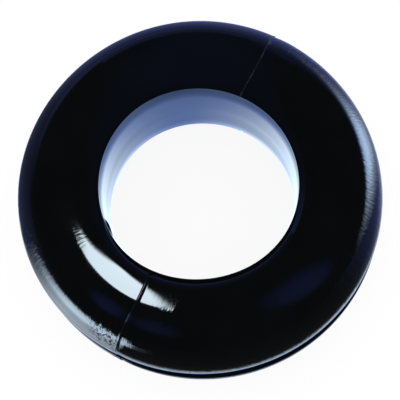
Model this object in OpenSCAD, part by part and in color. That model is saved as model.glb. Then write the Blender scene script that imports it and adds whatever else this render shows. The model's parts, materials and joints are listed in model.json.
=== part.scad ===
// Rubber grommet: a ring that snaps into a round hole in a panel and lines its edge.
// Millimetres. +Z runs along the bore, and the origin is on it, halfway across the groove.
// The mould parted on the plane y = 0, which left a fine raised line along X on both flanges.

/* [Bore] */
// Diameter of the bore that the cable or pipe passes through
bore_d = 14.2; // [11:0.1:16]
// Height from the crown of a flange down to the sharp edge of the bore
mouth_drop = 1.3; // [0.5:0.05:2]

/* [Flanges] */
// Outer diameter of both flanges
flange_d = 26.2; // [24.5:0.1:32]
// Thickness over both flanges, from crown to crown
thickness = 9.5; // [8:0.1:13]
// Diameter of the circle along which a flange is highest
crown_d = 20.6; // [19:0.1:22]
// Radius over the crown, limited by the width of the flange outside it
crown_r = 2.1; // [1:0.1:2.4]
// Radius of the lip where the rim turns into the groove
lip_r = 0.25; // [0.1:0.05:0.4]

/* [Groove] */
// Diameter of the groove's floor, which sits in the panel's hole
groove_d = 19.05; // [17:0.05:21]
// Width of the groove, which takes the panel's thickness
groove_w = 1.6; // [0.8:0.1:3]

/* [Parting line] */
// Width of the raised line that the mould left on the flanges
seam_w = 0.3; // [0.2:0.05:0.6]
// Height of that line above the flange
seam_h = 0.06; // [0.04:0.01:0.12]

/* [Hidden] */
rubber_black = "#0c0d11";
facets = 180;
corner_limit = 0.8;    // most of the flange's width or height that one corner may take
bore_rad = bore_d / 2;
crown_rad = crown_d / 2;
groove_rad = groove_d / 2;
half_gap = groove_w / 2;
rim_z = half_gap + lip_r;
mouth_z = thickness / 2 - mouth_drop;

// Body between the bore and the crown: its top is one arc that is level at the crown
module slope_section(top_z) {
    run = crown_rad - bore_rad;
    drop = top_z - mouth_z;
    arc_r = (run * run + drop * drop) / (2 * drop);
    intersection() {
        translate([crown_rad, top_z - arc_r])
            circle(arc_r, $fn = facets);
        translate([bore_rad, 0])
            square([run, top_z]);
    }
}

// Body outside the crown: a small arc and a large one that meet smoothly. The small one
// is over the crown where the flange is taller than it is wide, and at the rim otherwise.
module flank_section(top_z, rim_rad) {
    wide = rim_rad - crown_rad;
    tall = top_z - rim_z;
    upright = tall >= wide;
    short_side = min(wide, tall);
    long_side = max(wide, tall);
    small_r = min(crown_r, corner_limit * short_side);
    large_r = (wide * wide + tall * tall - 2 * long_side * small_r)
        / (2 * (short_side - small_r));
    small_centre = upright ? [crown_rad, top_z - small_r] : [rim_rad - small_r, rim_z];
    large_centre = upright ? [rim_rad - large_r, rim_z] : [crown_rad, top_z - large_r];
    shared = (small_centre - large_centre) / norm(small_centre - large_centre);
    flat = upright ? [1, 0] : [0, 1];
    reach = 2 * large_r;
    intersection() {
        union() {
            translate(small_centre)
                circle(small_r, $fn = facets);
            intersection() {
                translate(large_centre)
                    circle(large_r, $fn = facets);
                polygon([large_centre,
                         large_centre + reach * flat,
                         large_centre + reach * shared]);
            }
        }
        translate([crown_rad, rim_z])
            square([wide, tall]);
    }
}

// Body under the rim, down to the mid-plane, with the rounded lip at the groove's wall
module lip_section(rim_rad) {
    translate([rim_rad - lip_r, rim_z])
        circle(lip_r, $fn = facets);
    translate([crown_rad, 0])
        square([rim_rad - lip_r - crown_rad, rim_z]);
}

module half_section(proud) {
    top_z = thickness / 2 + proud;
    rim_rad = flange_d / 2 + proud;
    slope_section(top_z);
    flank_section(top_z, rim_rad);
    lip_section(rim_rad);
}

// The whole ring, with its flanges this much proud of their true shape
module ring(proud) {
    rotate_extrude($fn = facets)
        difference() {
            union() {
                half_section(proud);
                mirror([0, 1])
                    half_section(proud);
            }
            translate([groove_rad, -half_gap])
                square([flange_d, groove_w]);
        }
}

// Line left by the mould: a thin slice of a slightly larger ring. It runs from just outside
// the bore's edge to the rim, and dips under the crown, so the ring still lies on its crowns.
module parting_line() {
    line_end = thickness / 2 - seam_h / 2;
    difference() {
        intersection() {
            ring(seam_h);
            for (side = [0, 1])
                mirror([0, 0, side])
                    translate([-flange_d, -seam_w / 2, rim_z])
                        cube([2 * flange_d, seam_w, line_end - rim_z]);
        }
        cylinder(h = 2 * thickness, r = bore_rad + seam_w, center = true, $fn = facets);
    }
}

module grommet() {
    color(rubber_black) {
        ring(0);
        parting_line();
    }
}

grommet();
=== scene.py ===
"""Looks of the rubber grommet: its detailed ring, rubber, floor, light and camera.

Metres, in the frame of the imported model: +Z runs along the bore, the origin is on it halfway
across the groove, and the mould parted on the plane y = 0. The ring is swept round Z from one
section, with its columns packed closely where the parting line crosses the flanges.

The rubber is close to a black mirror, so its look is what it reflects. The light pieces are all
stage: they show in its gloss alone, and they are fitted to the view of the camera below.
"""
import json
import math

import bpy
import numpy as np
from mathutils import Matrix, Vector


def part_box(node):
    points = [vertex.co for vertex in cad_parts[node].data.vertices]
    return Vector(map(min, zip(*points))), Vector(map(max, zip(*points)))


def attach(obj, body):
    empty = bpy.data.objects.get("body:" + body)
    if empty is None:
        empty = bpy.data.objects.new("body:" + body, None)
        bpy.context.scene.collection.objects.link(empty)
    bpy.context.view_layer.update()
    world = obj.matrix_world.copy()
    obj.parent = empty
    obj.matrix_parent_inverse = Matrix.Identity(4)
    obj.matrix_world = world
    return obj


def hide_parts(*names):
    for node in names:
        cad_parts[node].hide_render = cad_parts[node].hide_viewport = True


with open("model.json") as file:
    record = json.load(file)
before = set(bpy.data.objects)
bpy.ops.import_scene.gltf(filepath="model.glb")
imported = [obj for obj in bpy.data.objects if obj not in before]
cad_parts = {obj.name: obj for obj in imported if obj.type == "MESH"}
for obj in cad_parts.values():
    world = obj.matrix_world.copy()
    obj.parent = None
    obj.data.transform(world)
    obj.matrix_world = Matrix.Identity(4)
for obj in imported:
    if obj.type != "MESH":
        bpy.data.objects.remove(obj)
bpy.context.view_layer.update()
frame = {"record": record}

MM = 0.001
NODE = "grommet"

# Sizes from the frame and from the record's mounts
low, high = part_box(NODE)
MOUNTS = {m["name"]: m["dims"] for m in frame["record"]["mounts"]}
TOP_Z = high.z
RIM_RAD = (high.y - low.y) / 2
BORE_RAD = MOUNTS["bore"]["r_mm"] * MM
MOUTH_Z = MOUNTS["bore"]["length_mm"] * MM / 2
GROOVE_RAD = MOUNTS["panel_groove"]["r_mm"] * MM
HALF_GAP = MOUNTS["panel_groove"]["length_mm"] * MM / 2

# Section of a flange, with the same forms as the CAD solid
CROWN_RAD = 10.3 * MM
CROWN_ARC = 2.1 * MM
LIP_ARC = 0.25 * MM
RIM_Z = HALF_GAP + LIP_ARC
MOUTH_ARC = 0.07 * MM      # the worn edge between the slope and the bore
BORE_FLARE = 0.13 * MM     # how much the bore opens towards each mouth
FLARE_Z = 2.1 * MM         # height at which it starts to open

# The parting line and the slight step between the two halves of the mould
SEAM_RIDGE = [(-0.13, 0), (0.07, 0.055), (0.1, 0.05), (0.14, 0)]   # across, height, in mm
PINCH_DEPTH = 0.05 * MM    # the half with y < 0 dips this much at the rim, beside the line
PINCH_REACH = 1.2 * MM
SEAM_BOW = 0.33 * MM       # the line strays this far from the parting plane over the crown
DENSE_HALF = 0.75 * MM     # the columns are close together this far from the parting plane
DENSE_STEP = 0.03 * MM
WIDE_STEP = math.radians(1.0)

# How far the lower flange sits off the upper one, and towards which azimuth
SLIP = 0.035 * MM
SLIP_TURN = -56

# Where the skin is coarser: (azimuth, distance in rim radii, reach in mm, added level)
SPOT_Z = 0.33              # height of these places, in rim radii
RIM_SPOTS = [(133, 0.94, 5.0, 3.0), (175, 0.95, 2.4, 2.0), (-10, 0.92, 4.5, 2.4)]
CROWN_SPOTS = [(143, 0.70, 1.8, 0.22), (-9, 0.83, 2.4, 2.5), (-166, 0.80, 1.2, 2.2)]
PITTED = (175.5, 0.965, 1.8)   # azimuth, distance and reach of a patch of dull pits
PITTED_Z = 0.23

# A torn remnant of flash just inside the upper mouth of the bore
FLASH_TURN = (137, 150)    # azimuths of its ends
FLASH_OUT = 0.25 * MM
FLASH_Z = MOUTH_Z - 0.35 * MM

# Out-of-round lobes: (lobes, height, azimuth of one peak in degrees)
RIM_LOBES = [(0, 0.045 * MM, 0), (2, 0.063 * MM, 64), (3, 0.030 * MM, 15.4),
             (4, 0.021 * MM, 33)]
BORE_LOBES = [(0, -0.012 * MM, 0), (2, 0.019 * MM, 62), (3, 0.042 * MM, 38.8),
              (4, 0.031 * MM, 71.4)]

# Rubber
CLEAR, CLOUDY = (0.0012, 0.0015, 0.0016, 1), (0.0024, 0.0028, 0.0030, 1)
# Painted highlight along the parting line: a lighter flecked line beside the ridge and a brighter
# dash, standing in for light off the ridge's side
SEAM_HIGHLIGHT_PAINT = (0.021, 0.024, 0.034, 1)
ROUGH_CLEAR, ROUGH_CLOUDY = 0.045, 0.065
RUBBER_IOR = 1.5
GLOSS_TINT = (0.75, 0.9, 1.0, 1)
GRAIN_DEPTH = 0.014 * MM
GRAIN_ROUND, GRAIN_ALONG = 4800, 1500   # how fine the grain is round the ring and across it
CLOUD_SCALE, FLECK_SCALE, PIT_SCALE = 350, 2500, 5200
GLOSS, PIT_LOSS = 0.5, 0.46             # specular level, and what a pit takes off it
HIGHLIGHT_OFF = 0.1 * MM                     # the painted highlight lies this far to one side of the ridge
PAINTED_DASH = (179, 0.835, 0.35)         # azimuth, distance and height of its brightest painted dash

# Light and table, as they show in the rubber's gloss. Azimuths and elevations are in degrees and
# distances in rim radii. A list whose name ends in TURN holds (azimuth, level) steps, in RISE
# (elevation, level) steps, and in REACH or EDGE (distance, level) steps. A pair whose name ends
# in FROM or TO holds the place of a soft edge and its width.
CAMERA_WHITE = 1.065                  # the table as the camera sees it
GLOW_SHARE = 0.85                     # how much of that is plain white: the rest takes shadow
TABLE_PAINT = (0.8, 0.8, 0.8, 1)
DIM = (0.022, 0.024, 0.026)           # the unlit studio

# Faint blue patches on a sheet over the part: x, y, half length, half width, turn, share
SHEEN_BLUE = (0.06, 0.09, 0.36)
SHEEN_Z = 0.5
SHEEN_SOFT = 1.35
SHEENS = [(-0.28, -0.79, 0.34, 0.20, -57, 1.0), (-0.91, 0.16, 0.18, 0.17, 0, 1.05),
          (-0.93, -0.16, 0.21, 0.17, 90, 0.8), (0.55, 0.3, 0.75, 0.55, 10, 0.32),
          (1.12, -0.08, 0.3, 0.24, 90, 0.9)]

# The blue far wall of the room, and where its blue lies on the table
BACK_BLUE = (0.12, 0.16, 0.50)
BACK_HEADING = 24
BACK_FROM = (1.2, 0.2)
BACK_TURN = [(-94, 0), (-84, 0.2), (-70, 0.7), (-60, 1), (20, 1), (35, 0.75), (60, 0.55),
             (78, 0.25), (95, 0.25), (118, 0.35), (130, 0.25), (140, 0)]

# The window: azimuth and elevation of each corner, and softness of the edge that starts there
KEY_SHAPE = [(-9.5, 50, 8), (-3, 55, 3), (4, 60, 1.4), (9, 61, 1.2), (24.5, 63, 1.2),
             (26.4, 61, 2.5), (22, 48, 5), (15.3, 33.9, 5.5), (9.3, 28.8, 5), (4.3, 26.5, 5),
             (-1.5, 29.4, 7), (-4.8, 38, 9)]
KEY_LEVEL = (21.5, 21.5, 21.5)

# Flags: the one behind the part as (azimuth, top) steps, and the place of the one along it
FLAG_OUT, FLAG_FOOT = 1.08, 0.42
FLAG_TOPS = [(2, 2.6), (5, 1.16), (9, 1.1), (17, 1.12), (30, 1.6)]
FLAG_BLUE, FLAG_BLUE_FROM, FLAG_BLUE_TO = 0.8, (-30, 30), (0.53, -0.1)
SIDE_FLAG_Y = -0.195

# The lit part of the table on the left, and a narrow strip of it beyond the parting line
LEFT_TURN = [(125, 0), (131, 0.1), (136, 0.3), (144, 0.76), (151, 1.1), (172, 1.1),
             (173.5, 0.95), (174.5, 0)]
LEFT_REACH = [(1.2, 0.4), (1.35, 1.4), (1.5, 1.7), (1.65, 2.1), (1.8, 2.6), (1.9, 3.3),
              (2.1, 5.0), (2.3, 6.3), (3.2, 6.3), (3.6, 4.9), (4.1, 2.6), (4.7, 0.6), (6, 0)]
LEFT_TINT = (1.0, 1.18, 1.35)
DASH_TURN = [(173.5, 0), (174.5, 1), (176.5, 0.8), (177.5, 0.2), (180, 0.06), (186, 0)]
DASH_REACH = [(2.05, 0), (2.35, 5), (3.1, 5), (3.4, 0)]

# The card on the right, with a navy fringe round it
RIGHT_TURN = [(-76, 0), (-72, 0.06), (-66, 0.2), (-60, 0.37), (-55, 0.57), (-50, 0.84),
              (-45, 0.95), (-40, 0.93), (-30, 0.82), (-25, 0.56), (-20, 0.36), (-15, 0.24),
              (-8, 0.1), (0, 0.04), (10, 0)]
RIGHT_RISE = [(-42, 0), (-36, 0.35), (-32, 1.0), (-25, 1.75), (-19, 2.6), (-14.5, 4.0),
              (-10.4, 4.9), (-6.6, 5.0), (-3.5, 4.6), (0, 3.8), (3, 3.1), (6, 1.9), (9, 0.7),
              (13, 0)]
RIGHT_TINT = (1.0, 1.14, 1.22)
HALO = (0.2, 0.9, 2.6)
HALO_AT, HALO_HALF = (-38, -8), (31, 25)   # its middle and half size: azimuth, elevation

# The bright table close round the part: it turns from blue to white further out, and is duller
# under the lit part on the left. A dim band lies on the right of it.
# Its first steps, dark right at the part's foot, are a painted contact shadow in the table's
# light.
TABLE_EDGE = [(1.0, 0.1), (1.03, 0.2), (1.06, 0.75), (1.1, 1.05), (1.14, 1.05), (1.2, 0.95),
              (1.26, 0.3), (1.31, 0.04), (1.38, 0.01)]
EDGE_TURN = [(-90, 0.7), (-75, 0.6), (-55, 0.8), (0, 1), (118, 1), (132, 0.35), (171, 0.35),
             (178, 1)]
TABLE_NEAR, TABLE_TINT = (0.68, 1.02, 1.75), (0.95, 1.03, 1.13)
WHITE_FROM = (1.11, 0.07)
BAND_LEVEL, BAND_FROM, BAND_TO = 0.36, (1.1, 0.15), (1.75, -0.35)
BAND_AZIMUTH, BAND_HALF = -42, 45

# The table seen in the wall of the bore, as (distance along BORE_AXIS, level) steps
BORE_AXIS = 38                        # azimuth of the far wall
BORE_OUT = 0.75                       # the table inside this distance is for the bore
BORE_HALF = 0.42                      # distance from the axis at which only side light is left
# Its levels fall towards the walls of the bore: painted shade where the part hides the table from
# the light.
BORE_FLOOR = [(-0.5, 0.65), (0.0, 0.75), (0.25, 0.85), (0.33, 0.93), (0.42, 1.0), (0.47, 0.9),
              (0.54, 0.64)]
BORE_FOOT = [(0.42, 1), (0.49, 0.75), (0.56, 0.4)]   # bluer at the foot of the wall
BORE_FAR, BORE_SIDE = (0.70, 1.06, 2.3), (1.8, 2.16, 2.5)


# ---------------------------------------------------------------- small helpers

def polar(azimuth, radius, height):
    """Point at an azimuth in degrees."""
    a = math.radians(azimuth)
    return Vector((radius * math.cos(a), radius * math.sin(a), height))


def heading(azimuth, elevation):
    """Unit vector that points that way, angles in degrees."""
    return polar(azimuth, math.cos(math.radians(elevation)), math.sin(math.radians(elevation)))


def on_part(azimuth, distance, height):
    """Point at an azimuth in degrees, with its distance and height in rim radii."""
    return polar(azimuth, distance * RIM_RAD, height * RIM_RAD)


def spread(values, steps):
    """Level at each value, on straight lines between (value, level) steps."""
    return np.interp(values, [s[0] for s in steps], [s[1] for s in steps])


def ease(values):
    """0 to 1 with soft ends."""
    t = np.clip(values, 0, 1)
    return t * t * (3 - 2 * t)


def past(values, edge):
    """0 to 1 across a soft edge, given as its start and its width (negative to fall)."""
    return ease((values - edge[0]) / edge[1])


def tinted(levels, colour):
    """A colour at each level."""
    return np.asarray(levels)[..., None] * np.array(colour)


# ---------------------------------------------------------------- the ring's mesh

def arc(centre, radius, start, end, count):
    """Points on an arc, angles in degrees, without its last point."""
    angles = np.radians(np.linspace(start, end, count, endpoint=False))
    return np.stack([centre[0] + radius * np.cos(angles),
                     centre[1] + radius * np.sin(angles)], 1)


def line(start, end, count):
    """Points on a straight line, without its last point."""
    share = np.linspace(0, 1, count, endpoint=False)[:, None]
    return np.array(start) + share * (np.array(end) - np.array(start))


def half_section():
    """(radius, height) of the upper half, from the middle of the bore round to the groove."""
    run, drop = CROWN_RAD - BORE_RAD, TOP_Z - MOUTH_Z
    slope_r = (run * run + drop * drop) / (2 * drop)
    slope_end = 90 + math.degrees(math.asin(run / slope_r))
    worn = math.degrees(MOUTH_ARC / slope_r)
    wide, tall = RIM_RAD - CROWN_RAD, TOP_Z - RIM_Z
    flank_r = (wide ** 2 + tall ** 2 - 2 * tall * CROWN_ARC) / (2 * (wide - CROWN_ARC))
    meet = math.degrees(math.atan2(TOP_Z - CROWN_ARC - RIM_Z, CROWN_RAD - RIM_RAD + flank_r))
    mouth = (BORE_RAD + MOUTH_ARC, MOUTH_Z - 0.4 * MOUTH_ARC)
    flare = line((0, FLARE_Z), (1, MOUTH_Z - MOUTH_ARC), 13)
    flare[:, 0] = BORE_RAD - BORE_FLARE * (1 - flare[:, 0] ** 2)
    return np.vstack([
        line((BORE_RAD - BORE_FLARE, 0), (BORE_RAD - BORE_FLARE, FLARE_Z), 5),
        flare,
        arc(mouth, MOUTH_ARC, 180, slope_end - 4, 4),
        arc((CROWN_RAD, TOP_Z - slope_r), slope_r, slope_end - worn, 90, 24),
        arc((CROWN_RAD, TOP_Z - CROWN_ARC), CROWN_ARC, 90, meet, 12),
        arc((RIM_RAD - flank_r, RIM_Z), flank_r, meet, 0, 16),
        arc((RIM_RAD - LIP_ARC, RIM_Z), LIP_ARC, 0, -90, 6),
        line((RIM_RAD - LIP_ARC, HALF_GAP), (GROOVE_RAD, HALF_GAP), 4),
        line((GROOVE_RAD, HALF_GAP), (GROOVE_RAD, 0), 3),
    ])


def column_azimuths():
    """Azimuths of the columns: close together beside the parting plane, even elsewhere."""
    edge = DENSE_HALF / RIM_RAD
    close = np.linspace(-edge, edge, 2 * round(DENSE_HALF / DENSE_STEP) + 1)
    count = round((math.pi - 2 * edge) / WIDE_STEP)
    wide = np.linspace(edge, math.pi - edge, count + 1)[1:-1]
    half = np.concatenate([close, wide])
    return np.concatenate([half, half + math.pi])


def lobes(table, azimuth):
    """How far a surface stands out at each azimuth."""
    return sum(h * np.cos(n * (azimuth - math.radians(peak))) for n, h, peak in table)


def ring_points(section, azimuth):
    """Every point of the ring, as an array of (column, section point, xyz)."""
    radius, height = section[:, 0][None, :], section[:, 1][None, :]
    out = (radius - BORE_RAD) / (RIM_RAD - BORE_RAD)
    stray = (1 - out) * lobes(BORE_LOBES, azimuth)[:, None] \
        + out * lobes(RIM_LOBES, azimuth)[:, None]
    radius = radius + stray
    slip = np.clip(-height / HALF_GAP, 0, 1) * SLIP    # none over the groove, full under it
    turn = math.radians(SLIP_TURN)
    return np.stack([radius * np.cos(azimuth)[:, None] + slip * math.cos(turn),
                     radius * np.sin(azimuth)[:, None] + slip * math.sin(turn),
                     np.broadcast_to(height, radius.shape)], 2)


def ring_normals(section, azimuth):
    """Outward normals of the plain ring, in the same layout."""
    along = np.roll(section, -1, 0) - np.roll(section, 1, 0)
    normal = np.stack([-along[:, 1], along[:, 0]], 1)
    normal /= np.linalg.norm(normal, axis=1, keepdims=True)
    return np.stack([normal[None, :, 0] * np.cos(azimuth)[:, None],
                     normal[None, :, 0] * np.sin(azimuth)[:, None],
                     np.broadcast_to(normal[None, :, 1], (len(azimuth), len(section)))], 2)


def seam_rise(points):
    """Height of the raised parting line at each point, less the dip beside it."""
    radius = np.hypot(points[..., 0], points[..., 1])
    out = np.clip((radius - BORE_RAD) / (RIM_RAD - BORE_RAD), 0, 1)
    across = points[..., 1] + SEAM_BOW * np.sin(math.pi * out)
    ridge = np.interp(across / MM, [r[0] for r in SEAM_RIDGE], [r[1] for r in SEAM_RIDGE]) * MM
    # it fades out before the mouth, where the side with x > 0 has a notch instead
    from_mouth = (radius - BORE_RAD) / MM
    notch = np.where(points[..., 0] > 0, -2.0, 0.0)
    ridge = ridge * np.interp(from_mouth, [-0.05, 0.1, 0.3, 0.45], [0, 0, 0.3, 1]) \
        + notch * ridge * np.interp(from_mouth, [-0.05, 0.1, 0.3], [0, 1, 0])
    ridge = ridge * np.interp(out, [0.65, 0.97], [1, 0.3])
    side = np.clip(1 + np.minimum(across, 0) / PINCH_REACH, 0, 1) * (across < 0)
    dip = PINCH_DEPTH * side ** 2 * np.clip((out - 0.62) / 0.3, 0, 1)
    clear_of_groove = np.clip((np.abs(points[..., 2]) - HALF_GAP) / (0.2 * MM), 0, 1)
    return (ridge - dip) * clear_of_groove


def flash_depth(section, azimuth):
    """How far the torn flash stands out of the bore's wall under the upper mouth."""
    turn = (np.degrees(azimuth)[:, None] - FLASH_TURN[0]) / (FLASH_TURN[1] - FLASH_TURN[0])
    swell = np.clip(turn, 0, 1) ** 0.7 * np.clip(1 - turn, 0, 1) ** 1.2 * 2.2
    inner = section[None, :, 0] < BORE_RAD + MOUTH_ARC
    rise = np.clip(1 - np.abs(section[None, :, 1] - FLASH_Z) / (0.2 * MM), 0, 1)
    return FLASH_OUT * swell * rise * inner


def make_ring():
    """The ring as one closed mesh, in the place of the CAD node."""
    upper = half_section()
    lower = upper[::-1] * [1, -1]
    section = np.vstack([upper, lower[:-1]])
    azimuth = column_azimuths()
    points = ring_points(section, azimuth)
    rise = seam_rise(points) + flash_depth(section, azimuth)
    points = points + ring_normals(section, azimuth) * rise[..., None]
    points[..., 2] = np.maximum(points[..., 2], low.z)    # the ridge stays off the table
    columns, rows = points.shape[:2]
    corner = np.arange(columns * rows).reshape(columns, rows)
    ahead = np.roll(corner, -1, 0)
    faces = np.stack([corner, np.roll(corner, -1, 1), np.roll(ahead, -1, 1), ahead], 2)
    mesh = bpy.data.meshes.new("grommet_ring")
    mesh.from_pydata(points.reshape(-1, 3).tolist(), [], faces.reshape(-1, 4).tolist())
    mesh.validate()
    mesh.shade_smooth()
    mesh.set_sharp_from_angle(angle=math.radians(40))
    ring = bpy.data.objects.new("grommet_ring", mesh)
    bpy.context.scene.collection.objects.link(ring)
    return ring


# ---------------------------------------------------------------- materials

class Nodes:
    """A node tree with short ways to add and join nodes."""

    def __init__(self, tree):
        self.tree = tree
        tree.nodes.clear()

    def add(self, kind, **values):
        node = self.tree.nodes.new(kind)
        for name, value in values.items():
            setattr(node, name, value)
        return node

    def join(self, source, target):
        self.tree.links.new(source, target)

    def feed(self, socket, value):
        if isinstance(value, bpy.types.NodeSocket):
            self.join(value, socket)
        else:
            socket.default_value = value

    def math(self, operation, *values):
        node = self.add("ShaderNodeMath", operation=operation)
        for socket, value in zip(node.inputs, values):
            self.feed(socket, value)
        return node.outputs[0]

    def blend(self, share, first, second):
        """Shader that goes from first to second as share goes from 0 to 1."""
        node = self.add("ShaderNodeMixShader")
        self.feed(node.inputs["Fac"], share)
        self.join(first.outputs[0], node.inputs[1])
        self.join(second.outputs[0], node.inputs[2])
        return node

    def away(self, point, centre):
        """Distance of a point from a fixed one."""
        node = self.add("ShaderNodeVectorMath", operation="DISTANCE")
        self.join(point, node.inputs[0])
        node.inputs[1].default_value = centre
        return node.outputs["Value"]

    def noise(self, point, scale, detail=2.0, rough=0.5):
        node = self.add("ShaderNodeTexNoise")
        self.join(point, node.inputs["Vector"])
        node.inputs["Scale"].default_value = scale
        node.inputs["Detail"].default_value = detail
        node.inputs["Roughness"].default_value = rough
        return node.outputs["Fac"]

    def ramp(self, value, low, high, out_low=0.0, out_high=1.0):
        """Smooth step between two levels as value goes from low to high."""
        node = self.add("ShaderNodeMapRange", interpolation_type="SMOOTHSTEP")
        for socket, v in zip(node.inputs, (value, low, high, out_low, out_high)):
            self.feed(socket, v)
        return node.outputs["Result"]


class Skin(Nodes):
    """Node tree of the rubber, with the place on the part as ready sockets."""

    def __init__(self, tree):
        super().__init__(tree)
        self.place = self.add("ShaderNodeTexCoord").outputs["Object"]
        axes = self.add("ShaderNodeSeparateXYZ")
        self.join(self.place, axes.inputs[0])
        self.x, self.y, self.z = (axes.outputs[name] for name in "XYZ")
        self.radius = self.math("SQRT", self.math("ADD", self.math("MULTIPLY", self.x, self.x),
                                                  self.math("MULTIPLY", self.y, self.y)))

    def coarseness(self):
        """How strong the grain is: low on the crown, high at the rim and in the spots."""
        half = self.ramp(self.y, 0.3 * MM, -0.3 * MM, 0.03, 0.05)
        rim = self.ramp(self.y, -2.0 * MM, -4.0 * MM, 0.6, 1.8)
        rim = self.with_spots(rim, RIM_SPOTS)
        at_rim = self.ramp(self.radius, 0.85 * RIM_RAD, 0.91 * RIM_RAD)
        return self.with_spots(self.math("MULTIPLY_ADD", at_rim, rim, half), CROWN_SPOTS)

    def with_spots(self, level, spots):
        """A level with that of each spot added."""
        for azimuth, distance, reach, added in spots:
            away = self.away(self.place, on_part(azimuth, distance, SPOT_Z))
            level = self.math("ADD", level,
                              self.ramp(away, reach * MM, 0.2 * reach * MM, 0.0, added))
        return level

    def grain(self):
        """Fine streaks that run across the ring's flanges."""
        brushed = self.add("ShaderNodeCombineXYZ")
        turn = self.math("ARCTAN2", self.y, self.x)
        self.feed(brushed.inputs[0], self.math("MULTIPLY", turn, GRAIN_ROUND * RIM_RAD))
        self.feed(brushed.inputs[1], self.math("MULTIPLY", self.radius, GRAIN_ALONG))
        self.feed(brushed.inputs[2], self.math("MULTIPLY", self.z, GRAIN_ALONG))
        return self.noise(brushed.outputs[0], 1, 1.5, 0.6)

    def seam_highlight(self):
        """How much painted highlight lies along the parting line: a flecked line to one side of
        the ridge, stronger on the side with x > 0, and a brighter dash.
        """
        out = self.math("DIVIDE", self.math("SUBTRACT", self.radius, BORE_RAD),
                        RIM_RAD - BORE_RAD)
        bow = self.math("MULTIPLY", self.math("SINE", self.math("MULTIPLY", out, math.pi)),
                        SEAM_BOW)
        off_line = self.math("ABSOLUTE", self.math("SUBTRACT", self.math("ADD", self.y, bow),
                                                   HIGHLIGHT_OFF))
        flecks = self.ramp(self.noise(self.place, FLECK_SCALE, 2), 0.35, 0.6, 0.25, 1.0)
        on_line = self.math("MULTIPLY", self.ramp(off_line, 0.07 * MM, 0.03 * MM), flecks)
        dash = self.away(self.place, on_part(*PAINTED_DASH))
        share = self.math("ADD", self.ramp(self.x, -2 * MM, 2 * MM, 0.15, 1.0),
                          self.ramp(dash, 0.55 * MM, 0.35 * MM, 0.0, 5.0))
        return self.math("MULTIPLY", on_line, share)

    def colour(self, cloud):
        """Near black, faintly cloudy, with the painted highlight of the parting line on it."""
        rubber = self.add("ShaderNodeMix", data_type="RGBA")
        self.join(cloud, rubber.inputs["Factor"])
        rubber.inputs["A"].default_value = CLEAR
        rubber.inputs["B"].default_value = CLOUDY
        # painted highlight of the parting line, mixed into the base colour; its factor runs past
        # 1 at the dash
        highlighted = self.add("ShaderNodeMix", data_type="RGBA", clamp_factor=False)
        self.join(self.seam_highlight(), highlighted.inputs["Factor"])
        self.join(rubber.outputs["Result"], highlighted.inputs["A"])
        highlighted.inputs["B"].default_value = SEAM_HIGHLIGHT_PAINT
        return highlighted.outputs["Result"]

    def pits(self):
        """Dull pits in one patch near the rim."""
        azimuth, distance, reach = PITTED
        patch = self.away(self.place, on_part(azimuth, distance, PITTED_Z))
        return self.math("MULTIPLY",
                         self.ramp(self.noise(self.place, PIT_SCALE, 1.5), 0.5, 0.58),
                         self.ramp(patch, reach * MM, 0.4 * reach * MM))


def rubber_material():
    """Glossy black moulded rubber: near black, a fine grain, faintly cloudy."""
    material = bpy.data.materials.new("rubber_black")
    material.use_nodes = True
    n = Skin(material.node_tree)
    out = n.add("ShaderNodeOutputMaterial")
    skin = n.add("ShaderNodeBsdfPrincipled")
    n.join(skin.outputs[0], out.inputs["Surface"])
    cloud = n.noise(n.place, CLOUD_SCALE, 3)
    n.join(n.colour(cloud), skin.inputs["Base Color"])
    n.join(n.ramp(cloud, 0.3, 0.7, ROUGH_CLEAR, ROUGH_CLOUDY), skin.inputs["Roughness"])
    skin.inputs["IOR"].default_value = RUBBER_IOR
    n.join(n.math("MULTIPLY_ADD", n.pits(), -PIT_LOSS, GLOSS), skin.inputs["Specular IOR Level"])
    skin.inputs["Specular Tint"].default_value = GLOSS_TINT
    bump = n.add("ShaderNodeBump")
    bump.inputs["Strength"].default_value = 1.0
    bump.inputs["Distance"].default_value = GRAIN_DEPTH
    n.join(n.math("MULTIPLY", n.grain(), n.coarseness()), bump.inputs["Height"])
    n.join(bump.outputs[0], skin.inputs["Normal"])
    return material


def glow_colour(n):
    """Colour of the light that is kept on the mesh itself."""
    return n.add("ShaderNodeAttribute", attribute_name="glow").outputs["Color"]


def floor_material():
    """White table. The camera sees it white, with the part's soft shadow, and the gloss sees
    how much light comes from each place on it."""
    material = bpy.data.materials.new("floor_white")
    material.use_nodes = True
    n = Nodes(material.node_tree)
    out = n.add("ShaderNodeOutputMaterial")
    path = n.add("ShaderNodeLightPath")
    paint = n.add("ShaderNodeBsdfDiffuse")
    paint.inputs["Color"].default_value = TABLE_PAINT
    white = n.add("ShaderNodeEmission")
    white.inputs["Strength"].default_value = CAMERA_WHITE
    gloss = n.add("ShaderNodeEmission")
    n.join(glow_colour(n), gloss.inputs["Color"])
    seen = n.blend(n.math("MULTIPLY", path.outputs["Is Camera Ray"], GLOW_SHARE), paint, white)
    n.join(n.blend(path.outputs["Is Glossy Ray"], seen, gloss).outputs[0], out.inputs["Surface"])
    return material


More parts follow.
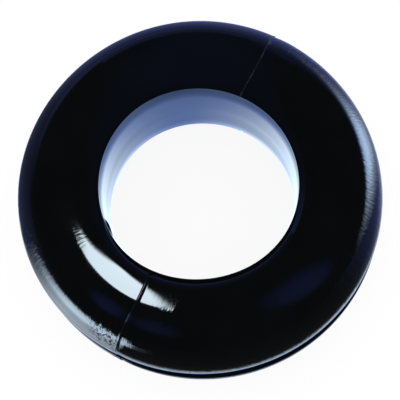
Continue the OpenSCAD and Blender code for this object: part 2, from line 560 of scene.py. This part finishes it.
def card_material(name, solid=False, one_sided=False):
    """Light of a card, added to what lies behind it unless it is solid on one or both sides."""
    material = bpy.data.materials.new(name)
    material.use_nodes = True
    material.cycles.emission_sampling = "NONE"
    n = Nodes(material.node_tree)
    out = n.add("ShaderNodeOutputMaterial")
    glow = n.add("ShaderNodeEmission")
    n.join(glow_colour(n), glow.inputs["Color"])
    if solid:
        n.join(glow.outputs[0], out.inputs["Surface"])
        return material
    if one_sided:
        back = n.add("ShaderNodeNewGeometry").outputs["Backfacing"]
        clear = n.add("ShaderNodeBsdfTransparent")
        n.join(n.blend(back, glow, clear).outputs[0], out.inputs["Surface"])
        return material
    both = n.add("ShaderNodeAddShader")
    n.join(glow.outputs[0], both.inputs[0])
    n.join(n.add("ShaderNodeBsdfTransparent").outputs[0], both.inputs[1])
    n.join(both.outputs[0], out.inputs["Surface"])
    return material


# ---------------------------------------------------------------- stage

def only_in_gloss(piece):
    """Make a stage piece that is seen in gloss alone: it neither shows nor lights the floor."""
    piece.visible_camera = False
    piece.visible_diffuse = False
    piece.visible_transmission = False
    piece.visible_shadow = False


def glow_mesh(name, points, glow, closed=False):
    """Mesh over a grid of points, with a colour of light at each one."""
    rows, columns = points.shape[:2]
    corner = np.arange(rows * columns).reshape(rows, columns)
    ahead = np.roll(corner, -1, 0) if closed else corner[1:]
    here = corner if closed else corner[:-1]
    faces = np.stack([here[:, :-1], ahead[:, :-1], ahead[:, 1:], here[:, 1:]], 2)
    mesh = bpy.data.meshes.new(name)
    mesh.from_pydata(points.reshape(-1, 3).tolist(), [], faces.reshape(-1, 4).tolist())
    kept = mesh.attributes.new("glow", "FLOAT_COLOR", "POINT")
    rgba = np.concatenate([glow, np.ones(glow.shape[:2] + (1,))], 2)
    kept.data.foreach_set("color", rgba.astype(np.float32).ravel())
    piece = bpy.data.objects.new(name, mesh)
    bpy.context.scene.collection.objects.link(piece)
    return piece


def make_card(name, origin, azimuths, elevations, reach, light):
    """A card as it is seen from origin: it stands reach away, or lies on the table if nearer.
    The azimuths and elevations are each given as first, last and count."""
    azimuth, elevation = np.meshgrid(np.linspace(*azimuths), np.linspace(*elevations),
                                     indexing="ij")
    a, e = np.radians(azimuth), np.radians(elevation)
    way = np.stack([np.cos(a) * np.cos(e), np.sin(a) * np.cos(e), np.sin(e)], 2)
    fall = (origin.z - low.z - 0.01 * RIM_RAD) / np.maximum(-way[..., 2], 1e-6)
    distance = np.minimum(reach * RIM_RAD, fall)
    points = np.array(origin) + way * distance[..., None]
    card = glow_mesh(name, points, light(azimuth, elevation))
    card.data.materials.append(card_material(name))
    only_in_gloss(card)


def key_light(azimuth, elevation):
    """The window: a patch with straight edges, each with its own softness."""
    level = np.ones_like(azimuth)
    for (a0, e0, soft), (a1, e1, _) in zip(KEY_SHAPE, KEY_SHAPE[1:] + KEY_SHAPE[:1]):
        length = math.hypot(a1 - a0, e1 - e0)
        inside = ((a1 - a0) * (e0 - elevation) - (a0 - azimuth) * (e1 - e0)) / length
        level = level * ease(inside / soft + 0.5)
    return tinted(level, KEY_LEVEL)


def right_light(azimuth, elevation):
    """The card on the right, brightest in its middle, and the fringe round it."""
    core = spread(azimuth, RIGHT_TURN) * spread(elevation, RIGHT_RISE)
    off = np.hypot((azimuth - HALO_AT[0]) / HALO_HALF[0], (elevation - HALO_AT[1]) / HALO_HALF[1])
    return tinted(core, RIGHT_TINT) + tinted(ease(1 - off), HALO)


def make_sheen_card():
    """Faint blue patches on a sheet just over the part, seen by its slopes."""
    x, y = np.meshgrid(np.linspace(-1.3, 1.3, 105), np.linspace(-1.3, 0.9, 89), indexing="ij")
    level = np.zeros_like(x)
    for x0, y0, long, wide, turn, share in SHEENS:
        c, w = math.cos(math.radians(turn)), math.sin(math.radians(turn))
        along, across = (x - x0) * c + (y - y0) * w, (y - y0) * c - (x - x0) * w
        level += share * ease(SHEEN_SOFT * (1 - np.hypot(along / long, across / wide)))
    points = np.stack([x, y, np.full_like(x, SHEEN_Z)], 2) * RIM_RAD
    card = glow_mesh("sheen_card", points, tinted(level, SHEEN_BLUE))
    card.data.materials.append(card_material("sheen_card"))
    only_in_gloss(card)


def make_cards():
    """The lights that show in the rubber's gloss."""
    near_slope = on_part(166.2, 0.673, 0.33)
    make_card("key_card", near_slope, (-22, 42, 257), (14, 72, 233), 25, key_light)
    right_flank = on_part(-38, 0.97, 0.1)
    make_card("right_card", right_flank, (-82, 14, 97), (-44, 28, 73), 12, right_light)


def make_flag():
    """A flag behind the part, so that the key card shows only in the near slope."""
    azimuths, shares = np.linspace(-45, 62, 55), np.linspace(0, 1, 28) ** 1.5
    tops = spread(azimuths, FLAG_TOPS)
    heights = FLAG_FOOT + shares[None, :] * (tops[:, None] - FLAG_FOOT)
    points = np.array([[on_part(a, FLAG_OUT, h) for h in row]
                       for a, row in zip(azimuths, heights)])
    blue = past(azimuths[:, None], FLAG_BLUE_FROM) * FLAG_BLUE * past(heights, FLAG_BLUE_TO)
    flag = glow_mesh("flag", points, np.array(DIM) + tinted(blue, BACK_BLUE))
    flag.data.materials.append(card_material("flag", solid=True))
    only_in_gloss(flag)


def make_side_flag():
    """A flag along the part that hides the key card from the half with y < 0."""
    x, z = np.meshgrid(np.linspace(-1.0, 1.6, 3), np.linspace(0.4, 6.0, 3), indexing="ij")
    points = np.stack([x, np.full_like(x, SIDE_FLAG_Y), z], 2) * RIM_RAD
    flag = glow_mesh("side_flag", points, np.broadcast_to(np.array(DIM), x.shape + (3,)))
    flag.data.materials.append(card_material("side_flag", one_sided=True))
    only_in_gloss(flag)


def bore_light(azimuth, radius):
    """The table under the part, as it shows in the wall of the bore."""
    turn = np.radians(azimuth - BORE_AXIS)
    side = ease(radius * np.abs(np.sin(turn)) / BORE_HALF) * spread(radius, BORE_FOOT)
    level = side + (1 - side) * spread(radius * np.cos(turn), BORE_FLOOR)
    return tinted(level * (1 - side), BORE_FAR) + tinted(level * side, BORE_SIDE)


def table_light(azimuth, radius):
    """How much light the gloss gets from each place on the table."""
    white = past(radius, WHITE_FROM)
    edge = tinted(spread(radius, TABLE_EDGE) * (1 - white), TABLE_NEAR)
    edge = edge + tinted(spread(radius, TABLE_EDGE) * white, TABLE_TINT)
    band = past(radius, BAND_FROM) * past(radius, BAND_TO)
    band = BAND_LEVEL * band * ease(1.2 - np.abs(azimuth - BAND_AZIMUTH) / BAND_HALF)
    edge = edge + tinted(band, TABLE_TINT)
    around = np.where(azimuth < -90, azimuth + 360, azimuth)
    edge = edge * spread(around, EDGE_TURN)[..., None]
    edge = edge + tinted(spread(around, LEFT_TURN) * spread(radius, LEFT_REACH), LEFT_TINT)
    edge = edge + tinted(spread(around, DASH_TURN) * spread(radius, DASH_REACH), LEFT_TINT)
    back = past(radius, BACK_FROM) * spread(azimuth, BACK_TURN)
    back = np.array(DIM) + tinted(back, BACK_BLUE)
    return np.where((radius < BORE_OUT)[..., None], bore_light(azimuth, radius), edge + back)


def make_floor():
    """A large plain table under the lower flange's crown, finer where the lit part ends."""
    azimuths = np.concatenate([np.arange(-190, -168, 0.5), np.arange(-168, 170, 2)])
    radii = np.concatenate([[0.001], np.linspace(0.1, 4, 157), np.geomspace(4.2, 60, 24)])
    azimuth, radius = np.meshgrid(azimuths, radii, indexing="ij")
    a = np.radians(azimuth)
    points = np.stack([radius * np.cos(a), radius * np.sin(a), np.zeros_like(a)], 2) * RIM_RAD
    points[..., 2] = low.z
    floor = glow_mesh("floor", points, table_light(azimuth, radius), closed=True)
    floor.data.materials.append(floor_material())


def make_world():
    """White behind the part, a plain soft light on it, and a dim studio in its gloss."""
    world = bpy.data.worlds.new("studio")
    bpy.context.scene.world = world
    world.use_nodes = True
    n = Nodes(world.node_tree)
    out = n.add("ShaderNodeOutputWorld")
    path = n.add("ShaderNodeLightPath")
    plain = n.add("ShaderNodeBackground")
    plain.inputs["Color"].default_value = (1, 1, 1, 1)
    plain.inputs["Strength"].default_value = 1.0
    studio = n.add("ShaderNodeBackground")
    studio.inputs["Color"].default_value = (*DIM, 1)
    toward = n.add("ShaderNodeTexCoord").outputs["Generated"]
    axes = n.add("ShaderNodeSeparateXYZ")
    n.join(toward, axes.inputs[0])
    toward_back = n.add("ShaderNodeVectorMath", operation="DOT_PRODUCT")
    n.join(toward, toward_back.inputs[0])
    toward_back.inputs[1].default_value = heading(BACK_HEADING, 0)
    share = n.math("MULTIPLY", n.ramp(toward_back.outputs["Value"], 0.1, 0.85),
                   n.ramp(axes.outputs["Z"], 0.38, 0.16))
    back = n.add("ShaderNodeBackground")
    back.inputs["Color"].default_value = (*BACK_BLUE, 1)
    n.join(share, back.inputs["Strength"])
    both = n.add("ShaderNodeAddShader")
    n.join(studio.outputs[0], both.inputs[0])
    n.join(back.outputs[0], both.inputs[1])
    mixed = n.blend(path.outputs["Is Glossy Ray"], plain, both)
    n.join(mixed.outputs[0], out.inputs["Surface"])


def make_camera():
    """Camera looking down on the part, rolled a little as the photographer held it."""
    distance = 83.84 * MM
    elevation, azimuth = math.radians(72.11), math.radians(-145.75)
    roll = math.radians(8.61)
    aim = Vector((-0.226, -0.097, 0)) * MM
    back = Vector((math.cos(azimuth) * math.cos(elevation),
                   math.sin(azimuth) * math.cos(elevation), math.sin(elevation)))
    right = Vector((-math.sin(azimuth), math.cos(azimuth), 0))
    up = back.cross(right)
    across = math.cos(roll) * right - math.sin(roll) * up
    upward = math.sin(roll) * right + math.cos(roll) * up
    data = bpy.data.cameras.new("camera")
    data.sensor_width = 36
    data.lens = 103.2
    data.clip_start, data.clip_end = 5 * MM, 10
    camera = bpy.data.objects.new("camera", data)
    turn = Matrix((across, upward, back)).transposed().to_4x4()
    camera.matrix_world = Matrix.Translation(aim + distance * back) @ turn
    bpy.context.scene.collection.objects.link(camera)
    bpy.context.scene.camera = camera


make_camera()
ring = make_ring()
ring.data.materials.append(rubber_material())
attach(ring, "root")
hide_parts(NODE)
make_floor()
make_cards()
make_sheen_card()
make_flag()
make_side_flag()
make_world()
bpy.context.scene.view_settings.view_transform = "Standard"
